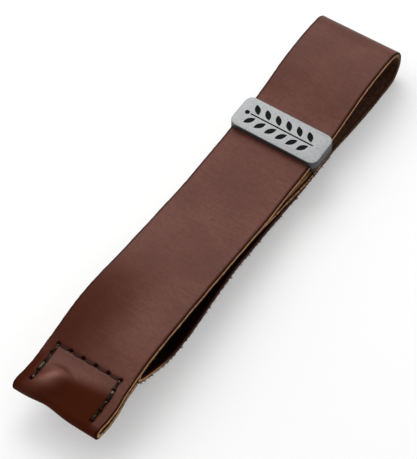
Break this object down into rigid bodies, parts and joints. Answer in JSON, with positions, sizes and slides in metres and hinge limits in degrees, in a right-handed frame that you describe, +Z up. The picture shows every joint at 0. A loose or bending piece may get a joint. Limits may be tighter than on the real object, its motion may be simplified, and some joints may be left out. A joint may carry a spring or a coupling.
{
  "type": "leather strap with sliding keeper",
  "caption": "Folded leather strap with a rounded top loop, a lower loop, a stitched end pocket holding a hard stopper, and a decorated metal keeper that slides along the top run.",
  "frame": {"origin": "centre of the footprint, on the surface that the strap lies on", "axes": "+X along the strap from the stitched pocket to the top loop, +Y across it towards its left edge, +Z up"},
  "size_m": [0.1886, 0.0348, 0.0173],
  "materials": {
    "leather": "smooth brown grain, tan cut edges, dark suede flesh side",
    "pewter": "satin cast metal with black-filled engraving",
    "thread": "waxed black-brown sewing thread",
    "stopper": "plain turned beech, hidden"
  },
  "bodies": {
    "band": {"strap": "leather", "pocket_stopper": "stopper", "pocket_thread": "thread", "eye_thread": "thread"},
    "keeper": {"keeper": "pewter"}
  },
  "joints": [
    {"name": "keeper_slide", "type": "slide", "parent": "band", "child": "keeper", "axis": [1, 0, 0], "range_m": [-0.022, 0.002]}
  ]
}
